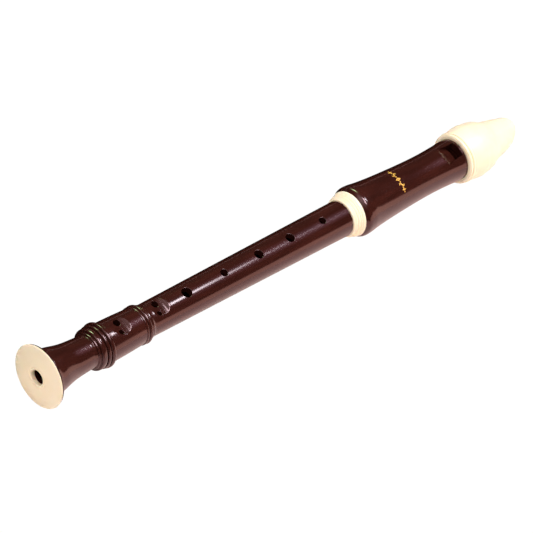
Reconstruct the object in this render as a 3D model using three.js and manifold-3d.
// Soprano recorder in three joints: foot, middle and head, with cream trim rings and a cream beak.
// Millimetres. The bore runs along X, the bell faces -X, the beak points to +X and the finger
// holes face +Z. Every piece is drawn in stations: x counts from the bell's face along the bore,
// and y = z = 0 is the bore's axis. One group then moves the whole recorder onto its frame.
import * as THREE from 'three';
import { mergeVertices } from 'three/addons/utils/BufferGeometryUtils.js';
import Module from 'manifold-3d';

const wasm = await Module();
wasm.setup();

// ---------------------------------------------------------------- driving dimensions

// Lengths along the bore.
const footLength = 66.6;
const middleLength = 137.0;
const headLength = 123.2;
const ferruleLength = 6.4;
const lowerTenonLength = 12.6;
const upperTenonLength = 22.4;

// Bore radii, from the bell to the head.
const bellBoreRadius = 4.1;
const lowerBoreRadius = 4.7;
const upperBoreRadius = 6.3;
const headBoreRadius = 6.4;

// Walls around the bore.
const lowerTubeWall = 3.85;
const upperTubeWall = 3.2;
const lowerTenonWall = 2.6;
const upperTenonWall = 1.8;
const footSocketWall = 2.1;
const footWaistWall = 3.9;
const ferruleSeatWall = 1.25;
const barrelShoulderWall = 5.1;
const barrelWaistWall = 4.05;
const barrelFlareWall = 0.75;
const neckWall = 3.1;
const beakRingWall = 4.45;
const beakBulgeWall = 4.9;

// Beads and trim.
const bellRingRadius = 16.6;
const bellRingThickness = 2.0;
const bellFlangeThickness = 1.0;
const bellFlangeSetback = 0.75;
const bellSpigotWall = 2.0;
const footTubeFlare = 0.75;
const socketBeadHeight = 0.55;
const socketBeadWidth = 1.5;
const stepHeight = 0.95;
const stepWidth = 1.4;
const collarHeight = 0.6;
const collarWidth = 1.6;
const ferruleGrooveDepth = 0.25;

// The foot's turned beads, from the head side to the bell side. Each has its middle's station, its
// width, its foot's height above the flared tube, and its own height.
const footBeads = [
  { station: 39.8, width: 2.3, foot: 0.15, height: 1.3 },
  { station: 37.5, width: 1.8, foot: 0.0, height: 0.9 },
  { station: 34.8, width: 3.2, foot: -0.5, height: 0.95 },
];

// Tenon lapping.
const corkThickness = 1.0;
const corkProud = 0.2;
const lowerCorkWidth = 8.0;
const upperCorkWidth = 13.0;

// Clearances.
const jointGap = 0.3;
const seatGap = 0.1;
const runningGap = 0.05;

// Finger holes: distance from the middle joint's lower end, and radius. The last is the thumb's.
const singleHoles = [
  { from: 27.2, radius: 2.8 },
  { from: 52.3, radius: 2.0 },
  { from: 76.0, radius: 2.4 },
  { from: 97.5, radius: 2.4 },
  { from: 120.1, radius: 1.95 },
];
const thumbHole = { from: 127.0, radius: 2.7 };
const doubleHoleMiddle = 8.0;
const doubleHoleFoot = 49.2;
const doubleHoleLargeRadius = 1.85;
const doubleHoleSmallRadius = 1.35;
const doubleHolePitch = 5.3;
const doubleHoleSlant = 1.2;
const scoopDepth = 1.3;
const scoopRadius = 10.5;
const scoopOffset = 1.2;

// Voicing: the windway, the window and the ramp.
const windwayHalfAngle = 42;
const windwayFloorDrop = 0.5;
const windwayRoofRise = 0.7;
const windowLength = 3.2;
const windowHalfWidth = 4.3;
const windowToBeak = 1.4;
const labiumThickness = 1.0;
const rampLength = 9.1;
const rampHalfWidth = 5.6;
const rampAxisDrop = 7.0;

// Beak.
const beakLength = 41.4;
const beakRingLength = 3.6;
const beakBulgeFrom = 11.4;
const beakTipRadius = 8.2;
const beakTipCorner = 3.6;
const beakLipThickness = 6.6;
const beakCutLength = 24.0;
const neckLength = 14.0;
const blockPastNeck = 6.0;

// ---------------------------------------------------------------- derived places and fits

const middleStart = footLength + jointGap;
const middleEnd = middleStart + middleLength;
const headStart = middleEnd + jointGap;
const tip = headStart + headLength;

const lowerTubeRadius = lowerBoreRadius + lowerTubeWall;
const upperTubeRadius = upperBoreRadius + upperTubeWall;
const lowerTenonRadius = lowerBoreRadius + lowerTenonWall;
const upperTenonRadius = upperBoreRadius + upperTenonWall;
const footSocketRadius = lowerTenonRadius + corkProud + runningGap;
const headSocketRadius = upperTenonRadius + corkProud + runningGap;

const footTubeRadius = footSocketRadius + footSocketWall;
const footWaistRadius = Math.max(bellBoreRadius, lowerBoreRadius) + footWaistWall;
const bellRingBack = bellRingThickness;
const bellFlangeFront = bellRingBack + seatGap;
const bellFlangeBack = bellFlangeFront + bellFlangeThickness;
const bellFlangeRadius = bellRingRadius - bellFlangeSetback;
const bellSpigotRadius = Math.max(bellBoreRadius, lowerBoreRadius) + bellSpigotWall;
const beadsStart = footBeads[2].station - footBeads[2].width / 2;
const beadsEnd = footBeads[0].station + footBeads[0].width / 2;

const ferruleEnd = headStart + ferruleLength;
const ferruleLip = 1.4;
const noseStart = headStart + ferruleLip + seatGap;
const noseRadius = headSocketRadius + ferruleSeatWall;
const ferruleFrontRadius = upperTubeRadius + 0.6;
const ferruleBackRadius = noseRadius + seatGap + 2.45;
const shoulderStart = ferruleEnd + seatGap;
const shoulderRadius = headSocketRadius + barrelShoulderWall;
const shoulderStation = shoulderStart + 3.6;
const headSocketEnd = headStart + upperTenonLength + jointGap;

const windowEnd = tip - beakLength - windowToBeak;
const windowStart = windowEnd - windowLength;
const beakStart = tip - beakLength;
const barrelWaistRadius = headBoreRadius + barrelWaistWall;
const barrelTopRadius = barrelWaistRadius + barrelFlareWall;
const barrelWaistStation = (shoulderStation + beakStart) / 2 + 14;
const neckRadius = headBoreRadius + neckWall;
const neckStart = beakStart - seatGap;
const neckEnd = beakStart + neckLength;
const blockRadius = headBoreRadius - runningGap;
const blockEnd = neckEnd + blockPastNeck;
const labiumRadius = headBoreRadius + labiumThickness;
const rampStart = windowStart - rampLength;
const rampTopRadius = barrelWaistRadius + 0.6 * barrelFlareWall;
const windwayFloorRadius = headBoreRadius - windwayFloorDrop;
const windwayRoofRadius = headBoreRadius + windwayRoofRise;
const beakRingRadius = neckRadius + beakRingWall;
const beakBulgeRadius = neckRadius + beakBulgeWall;

// Where the tenons end, and the middle joint's outer radius at a station.
const lowerTenonStart = middleStart - lowerTenonLength;
const upperTenonEnd = middleEnd + upperTenonLength;
const footSocketStart = lowerTenonStart - jointGap;
const taper = (x, x0, r0, x1, r1) => r0 + (r1 - r0) * (x - x0) / (x1 - x0);
const middleOuter = (x) => taper(x, middleStart, lowerTubeRadius, middleEnd, upperTubeRadius);

// Turned solids have flats, with one at the very bottom, so that the part lies still. Every radius
// is measured to the flats.
const ROUND = 24;
const TO_CORNER = 1 / Math.cos(Math.PI / ROUND);
const UP = 0;
const DOWN = 180;

// ---------------------------------------------------------------- shape helpers

// A closed mesh as a manifold solid, with the triangles that collapse on the axis left out.
function solid(geometry) {
  const bare = geometry.clone();
  bare.deleteAttribute('normal');
  bare.deleteAttribute('uv');
  const merged = mergeVertices(bare, 1e-4);
  const vertProperties = new Float32Array(merged.attributes.position.array);
  const kept = [];
  const index = merged.index.array;
  for (let i = 0; i < index.length; i += 3) {
    const [a, b, c] = [index[i], index[i + 1], index[i + 2]];
    if (a !== b && b !== c && c !== a) kept.push(a, b, c);
  }
  const made = new wasm.Mesh({ numProp: 3, vertProperties, triVerts: new Uint32Array(kept) });
  return new wasm.Manifold(made);
}

// A turned solid about the X axis. The outline is [x, radius] pairs, counter-clockwise when x
// points right and the radius up, and it either closes on itself or starts and ends on the axis.
function turned(outline, centreZ = 0) {
  const onAxis = outline[0][1] === 0;
  const closed = onAxis ? outline : [...outline, outline[0]];
  const points = closed.map(([x, r]) => new THREE.Vector2(r * TO_CORNER, x)).reverse();
  const lathe = new THREE.LatheGeometry(points, ROUND, Math.PI / ROUND);
  lathe.rotateZ(-Math.PI / 2);
  lathe.translate(0, 0, centreZ);
  return solid(lathe);
}

// Points of a bead that stands on a tube: half an ellipse from one end of its foot to the other.
function bead(centre, width, base, height, steps = 6) {
  const points = [];
  for (let i = 0; i <= steps; i++) {
    const t = Math.PI * i / steps;
    points.push([centre + width / 2 * Math.cos(t), base + height * Math.sin(t)]);
  }
  return points;
}

// A smooth curve through a few [x, radius] points, sampled evenly.
function smooth(knots, count) {
  const curve = new THREE.SplineCurve(knots.map(([x, r]) => new THREE.Vector2(x, r)));
  return curve.getPoints(count).map((p) => [p.x, p.y]);
}

// An upright round cutter at a station, from the axis outward to the given side.
function fingerCut(x, radius, side = UP, y = 0) {
  const reach = 2 * bellRingRadius;
  const cutter = new THREE.CylinderGeometry(radius, radius, reach, 20);
  cutter.rotateX(Math.PI / 2);
  cutter.translate(x, y, side === UP ? reach / 2 : -reach / 2);
  return solid(cutter);
}

// A flat outline in the X-Z plane, thickened along Y about y = 0.
function sideCut(points, halfWidth) {
  const shape = new THREE.Shape(points.map(([x, z]) => new THREE.Vector2(x, z)));
  const plate = new THREE.ExtrudeGeometry(shape, { depth: 2 * halfWidth, bevelEnabled: false });
  plate.rotateX(Math.PI / 2);
  plate.translate(0, halfWidth, 0);
  return solid(plate);
}

// A flat outline in the X-Y plane, thickened along Z from low to high.
function planCut(points, low, high) {
  const shape = new THREE.Shape(points.map(([x, y]) => new THREE.Vector2(x, y)));
  const plate = new THREE.ExtrudeGeometry(shape, { depth: high - low, bevelEnabled: false });
  plate.translate(0, 0, low);
  return solid(plate);
}

// A channel that follows the bore: the part of a tube wall within the windway's angle.
function arcChannel(x0, x1, inner, outer) {
  const half = THREE.MathUtils.degToRad(windwayHalfAngle);
  const shape = new THREE.Shape();
  shape.absarc(0, 0, outer, Math.PI / 2 - half, Math.PI / 2 + half, false);
  shape.absarc(0, 0, inner, Math.PI / 2 + half, Math.PI / 2 - half, true);
  const options = { depth: x1 - x0, bevelEnabled: false, curveSegments: 10 };
  const plate = new THREE.ExtrudeGeometry(shape, options);
  plate.rotateX(Math.PI / 2);
  plate.rotateZ(Math.PI / 2);
  plate.translate(x0, 0, 0);
  return solid(plate);
}

// The two holes of a pair, the larger one on the +Y side, with the scoop that they sit in.
function doubleHole(body, x, surfaceRadius) {
  const scoop = new THREE.CylinderGeometry(scoopRadius, scoopRadius, 4 * surfaceRadius, 48);
  scoop.translate(x + scoopOffset, 0, surfaceRadius - scoopDepth + scoopRadius);
  return body
    .subtract(solid(scoop))
    .subtract(fingerCut(x + doubleHoleSlant / 2, doubleHoleLargeRadius, UP, doubleHolePitch / 2))
    .subtract(fingerCut(x - doubleHoleSlant / 2, doubleHoleSmallRadius, UP, -doubleHolePitch / 2));
}

// ---------------------------------------------------------------- colours and the node helper

const brown = new THREE.MeshStandardMaterial({ color: '#3b1813', roughness: 0.18, metalness: 0 });
const cream = new THREE.MeshStandardMaterial({ color: '#fdebc8', roughness: 0.32, metalness: 0 });
const cork = new THREE.MeshStandardMaterial({ color: '#b98a5a', roughness: 0.9, metalness: 0 });

const recorder = new THREE.Group();

function addNode(name, body, material) {
  const { numProp, vertProperties, triVerts } = body.getMesh();
  const position = new Float32Array(vertProperties.length / numProp * 3);
  for (let i = 0; i < position.length / 3; i++) {
    for (let k = 0; k < 3; k++) position[3 * i + k] = vertProperties[numProp * i + k];
  }
  const geometry = new THREE.BufferGeometry();
  geometry.setAttribute('position', new THREE.BufferAttribute(position, 3));
  geometry.setIndex(new THREE.BufferAttribute(new Uint32Array(triVerts), 1));
  geometry.computeVertexNormals();
  const mesh = new THREE.Mesh(geometry, material);
  mesh.name = name;
  recorder.add(mesh);
}

// ---------------------------------------------------------------- foot joint

// The cream ring on the bell: a flat face that curves back to a rounded rim, pressed on the foot.
function bellRing() {
  return turned([
    [0, bellBoreRadius],
    [bellRingBack + 0.3, bellBoreRadius],
    [bellRingBack + 0.3, bellSpigotRadius - seatGap],
    [bellRingBack, bellSpigotRadius - seatGap],
    [bellRingBack, bellRingRadius - 1.1],
    [0.85 * bellRingThickness, bellRingRadius - 0.25],
    [0.65 * bellRingThickness, bellRingRadius],
    [0.45 * bellRingThickness, bellRingRadius - 0.3],
    [0.22 * bellRingThickness, bellRingRadius - 1.3],
    [0.06 * bellRingThickness, bellRingRadius - 2.9],
    [0, bellRingRadius - 4.6],
  ]);
}

function footTube() {
  const socketBeads = footLength - 2.2 * socketBeadWidth;
  const flareRadius = footTubeRadius + footTubeFlare;
  const stepStart = beadsStart - stepWidth;
  const outline = [
    [bellFlangeFront, bellSpigotRadius],
    [bellRingBack + 0.3 + seatGap, bellSpigotRadius],
    [bellRingBack + 0.3 + seatGap, bellBoreRadius + 0.05],
    [footSocketStart, lowerBoreRadius],
    [footSocketStart, footSocketRadius],
    [footLength, footSocketRadius],
    [footLength, footTubeRadius - 0.2],
    ...bead(footLength - 0.7 * socketBeadWidth, 1.3 * socketBeadWidth, footTubeRadius, socketBeadHeight),
    ...bead(socketBeads + 0.2, socketBeadWidth, footTubeRadius, 0.7 * socketBeadHeight),
    [socketBeads - socketBeadWidth, footTubeRadius],
    [beadsEnd + 0.2, flareRadius],
    ...footBeads.flatMap((b) => bead(b.station, b.width, flareRadius + b.foot, b.height, 7)),
    [beadsStart - 0.05, footWaistRadius + stepHeight],
    [stepStart + 0.3, footWaistRadius + stepHeight - 0.1],
    [stepStart, footWaistRadius + 0.1],
    ...smooth([
      [stepStart - 1.7, footWaistRadius],
      [bellFlangeBack + 16.0, footWaistRadius + 0.9],
      [bellFlangeBack + 7.5, footWaistRadius + 2.7],
      [bellFlangeBack + 2.2, bellFlangeRadius - 3.4],
      [bellFlangeBack + 0.6, bellFlangeRadius - 1.2],
    ], 12),
    [bellFlangeBack, bellFlangeRadius - 0.25],
    [bellFlangeBack - 0.25, bellFlangeRadius],
    [bellFlangeFront, bellFlangeRadius],
  ];
  const surface = taper(doubleHoleFoot, beadsEnd, flareRadius, footLength, footTubeRadius);
  return doubleHole(turned(outline), doubleHoleFoot, surface);
}

// ---------------------------------------------------------------- middle joint

const lowerCorkStart = lowerTenonStart + (lowerTenonLength - lowerCorkWidth) / 2;
const upperCorkStart = middleEnd + (upperTenonLength - upperCorkWidth) / 2;

function middleTube() {
  const lowerGroove = lowerTenonRadius - corkThickness + corkProud;
  const upperGroove = upperTenonRadius - corkThickness + corkProud;
  let body = turned([
    [lowerTenonStart, lowerBoreRadius],
    [upperTenonEnd, upperBoreRadius],
    [upperTenonEnd, upperTenonRadius],
    [upperCorkStart + upperCorkWidth, upperTenonRadius],
    [upperCorkStart + upperCorkWidth, upperGroove],
    [upperCorkStart, upperGroove],
    [upperCorkStart, upperTenonRadius],
    [middleEnd, upperTenonRadius],
    [middleEnd, upperTubeRadius],
    [middleStart + 2 * collarWidth, middleOuter(middleStart + 2 * collarWidth)],
    [middleStart + 1.5 * collarWidth, lowerTubeRadius + 0.1 * collarHeight],
    [middleStart + collarWidth, lowerTubeRadius + 0.5 * collarHeight],
    [middleStart + 0.9 * collarWidth, lowerTubeRadius + collarHeight],
    [middleStart, lowerTubeRadius + collarHeight],
    [middleStart, lowerTenonRadius],
    [lowerCorkStart + lowerCorkWidth, lowerTenonRadius],
    [lowerCorkStart + lowerCorkWidth, lowerGroove],
    [lowerCorkStart, lowerGroove],
    [lowerCorkStart, lowerTenonRadius],
    [lowerTenonStart, lowerTenonRadius],
  ]);
  for (const hole of singleHoles) {
    body = body.subtract(fingerCut(middleStart + hole.from, hole.radius));
  }
  body = body.subtract(fingerCut(middleStart + thumbHole.from, thumbHole.radius, DOWN));
  const pair = middleStart + doubleHoleMiddle;
  return doubleHole(body, pair, middleOuter(pair));
}

// A strip of cork wrapped round a tenon, in the groove that holds it.
function tenonCork(start, width, tenonRadius) {
  const inner = tenonRadius - corkThickness + corkProud + runningGap;
  const outer = tenonRadius + corkProud;
  return turned([
    [start + runningGap, inner],
    [start + width - runningGap, inner],
    [start + width - runningGap, outer],
    [start + runningGap, outer],
  ]);
}

// ---------------------------------------------------------------- head joint

// The cream ring at the mouth of the head's socket, with two turned grooves.
function headFerrule() {
  const rise = (t) => ferruleFrontRadius + (ferruleBackRadius - ferruleFrontRadius) * t;
  const along = (t) => headStart + ferruleLength * t;
  return turned([
    [headStart, headSocketRadius],
    [noseStart - seatGap, headSocketRadius],
    [noseStart - seatGap, noseRadius + seatGap],
    [ferruleEnd, noseRadius + seatGap],
    [ferruleEnd, ferruleBackRadius - 0.15],
    [along(0.96), ferruleBackRadius],
    [along(0.72), rise(0.86)],
    [along(0.68), rise(0.8) - ferruleGrooveDepth],
    [along(0.64), rise(0.76)],
    [along(0.4), rise(0.5)],
    [along(0.36), rise(0.44) - ferruleGrooveDepth],
    [along(0.32), rise(0.4)],
    [along(0.06), ferruleFrontRadius],
    [headStart, ferruleFrontRadius - 0.3],
  ]);
}

// The region above the ramp: a wedge that is widest where the ramp runs out of the surface. Its
// floor is a cone about a line below the bore, which leaves the labium's edge almost straight.
function rampCut() {
  const wedge = planCut([
    [rampStart, -rampHalfWidth],
    [windowStart, -windowHalfWidth],
    [windowStart, windowHalfWidth],
    [rampStart, rampHalfWidth],
  ], 0, 2 * barrelTopRadius);
  const slope = (rampTopRadius - labiumRadius) / rampLength;
  const floor = turned([
    [windowStart + 1, 0],
    [windowStart + 1, rampAxisDrop + labiumRadius - slope],
    [rampStart - 1, rampAxisDrop + rampTopRadius + slope],
    [rampStart - 1, 0],
  ], -rampAxisDrop);
  return wedge.subtract(floor);
}

function headBarrel() {
  const body = turned([
    [noseStart, headSocketRadius],
    [headSocketEnd, headSocketRadius],
    [headSocketEnd, headBoreRadius],
    [neckEnd, headBoreRadius],
    [neckEnd, neckRadius],
    [neckStart, neckRadius],
    [neckStart, barrelTopRadius + 0.15],
    ...smooth([
      [neckStart - 2.5, barrelTopRadius],
      [neckStart - 10, barrelWaistRadius + 0.35 * barrelFlareWall],
      [barrelWaistStation, barrelWaistRadius],
      [barrelWaistStation - 14, barrelWaistRadius + 0.35],
      [shoulderStation + 18, barrelWaistRadius + 1.3],
      [shoulderStation + 8, shoulderRadius - 0.85],
      [shoulderStation + 3, shoulderRadius - 0.2],
      [shoulderStation, shoulderRadius],
    ], 20),
    [shoulderStation - 1.3, shoulderRadius - 0.15],
    [shoulderStation - 2.4, shoulderRadius - 0.65],
    [shoulderStart + 0.6, ferruleBackRadius + 0.1],
    [shoulderStart, ferruleBackRadius - 0.1],
    [shoulderStart, noseRadius],
    [noseStart, noseRadius],
  ]);
  const window = planCut([
    [windowStart, -windowHalfWidth],
    [windowEnd, -windowHalfWidth],
    [windowEnd, windowHalfWidth],
    [windowStart, windowHalfWidth],
  ], 0, 2 * barrelTopRadius);
  return body
    .subtract(window)
    .subtract(rampCut())
    .subtract(arcChannel(windowEnd - 0.5, neckEnd + 1, headBoreRadius - 0.3, windwayRoofRadius));
}

// The block that fills the bore above the window and carries the windway's floor.
function windwayBlock() {
  const plug = turned([
    [blockEnd, 0],
    [blockEnd, blockRadius],
    [windowEnd, blockRadius],
    [windowEnd, 0],
  ]);
  return plug.subtract(arcChannel(windowEnd - 1, blockEnd + 1, windwayFloorRadius, 2 * headBoreRadius));
}

function mouthpieceBeak() {
  const socketEnd = neckEnd + seatGap;
  const bulge = beakStart + beakBulgeFrom;
  const ringEnd = beakStart + beakRingLength;
  const body = turned([
    [tip, 0],
    [tip, beakTipRadius - 0.5],
    [tip - 0.6, beakTipRadius],
    ...smooth([
      [tip - 4, beakTipRadius + 0.15],
      [tip - 11, beakTipRadius + 1.2],
      [tip - 17, beakTipRadius + 2.6],
      [(bulge + tip - 17) / 2 + 1.5, (beakBulgeRadius + beakTipRadius + 2.6) / 2 + 0.5],
      [bulge + 2, beakBulgeRadius - 0.15],
      [bulge, beakBulgeRadius],
      [bulge - 3, beakBulgeRadius - 0.25],
      [ringEnd + 0.6, beakRingRadius - 0.55],
    ], 22),
    [ringEnd, beakRingRadius - 0.75],
    ...bead(beakStart + beakRingLength / 2 + 0.2, beakRingLength - 0.6, beakRingRadius - 0.75, 0.75),
    [beakStart, beakRingRadius - 1.7],
    [beakStart, neckRadius + seatGap],
    [socketEnd, neckRadius + seatGap],
    [socketEnd, headBoreRadius],
    [blockEnd + seatGap, headBoreRadius],
    [blockEnd + seatGap, 0],
  ]);
  const lip = beakTipRadius - beakLipThickness;
  const cutStart = tip - beakCutLength;
  const underside = new THREE.QuadraticBezierCurve(
    new THREE.Vector2(cutStart, -beakBulgeRadius),
    new THREE.Vector2(cutStart + 0.34 * beakCutLength, lip - 0.33 * beakBulgeRadius),
    new THREE.Vector2(tip + 0.5, lip),
  ).getPoints(14).map((p) => [p.x, p.y]);
  const below = sideCut([...underside, [tip + 0.5, -2 * beakBulgeRadius],
    [cutStart, -2 * beakBulgeRadius]], 2 * beakBulgeRadius);
  const front = new THREE.QuadraticBezierCurve(
    new THREE.Vector2(tip - beakTipCorner, -beakTipRadius - 0.5),
    new THREE.Vector2(tip + beakTipCorner, 0),
    new THREE.Vector2(tip - beakTipCorner, beakTipRadius + 0.5),
  ).getPoints(12).map((p) => [p.x, p.y]);
  const ahead = planCut([...front, [tip + 9, beakTipRadius + 0.5], [tip + 9, -beakTipRadius - 0.5]],
    -2 * beakBulgeRadius, 2 * beakBulgeRadius);
  return body
    .subtract(below)
    .subtract(ahead)
    .subtract(arcChannel(neckEnd - 1, tip + 1, windwayFloorRadius, windwayRoofRadius));
}

// ---------------------------------------------------------------- assembly

addNode('bell_ring', bellRing(), cream);
addNode('foot_tube', footTube(), brown);
addNode('lower_tenon_cork', tenonCork(lowerCorkStart, lowerCorkWidth, lowerTenonRadius), cork);
addNode('middle_tube', middleTube(), brown);
addNode('upper_tenon_cork', tenonCork(upperCorkStart, upperCorkWidth, upperTenonRadius), cork);
addNode('head_ferrule', headFerrule(), cream);
addNode('head_barrel', headBarrel(), brown);
addNode('windway_block', windwayBlock(), brown);
addNode('mouthpiece_beak', mouthpieceBeak(), cream);

// The frame's origin is below the middle of the length, on the plane that the bell's rim rests on.
recorder.position.set(-tip / 2, 0, bellRingRadius);

export default recorder;
